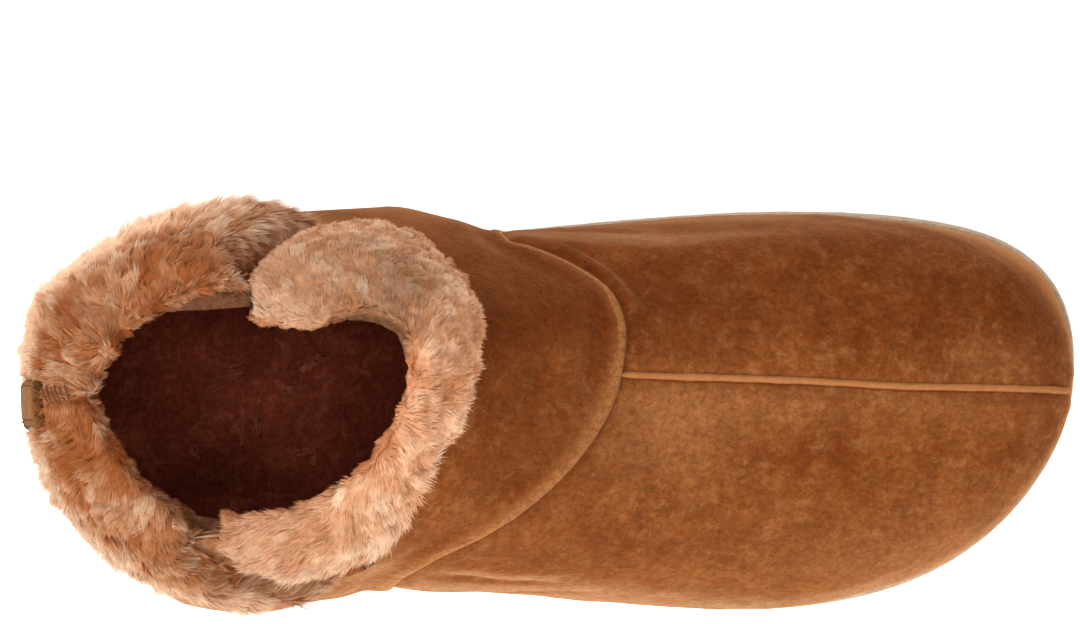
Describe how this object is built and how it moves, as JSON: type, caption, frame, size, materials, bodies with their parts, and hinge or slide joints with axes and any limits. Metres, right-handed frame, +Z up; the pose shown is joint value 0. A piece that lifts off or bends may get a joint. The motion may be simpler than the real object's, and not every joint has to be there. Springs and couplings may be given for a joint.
{
  "type": "bootie slipper",
  "caption": "Right-foot suede bootie slipper with a turned-down sheepskin cuff, fleece inside and a thin rubber sole.",
  "frame": {"origin": "on the floor under the heel's flat place, 36 mm in front of the sole's back end and near its middle line", "axes": "+X from heel to toe, +Y to the medial (big toe) side, +Z up"},
  "size_m": [0.2729, 0.1084, 0.1293],
  "materials": {
    "outsole_rubber": "matte moulded rubber, tan",
    "insole_wool": "short dense wool, dark maroon brown",
    "upper_suede": "mottled chestnut suede outside, dark wool inside",
    "cuff_sheepskin": "curly sheepskin pile, warm peach tan",
    "tab_suede": "suede strip, brown"
  },
  "bodies": {
    "root": {"outsole": "outsole_rubber", "insole": "insole_wool", "upper": "upper_suede", "cuff_front": "cuff_sheepskin", "cuff_back": "cuff_sheepskin", "heel_tab": "tab_suede"}
  },
  "joints": []
}
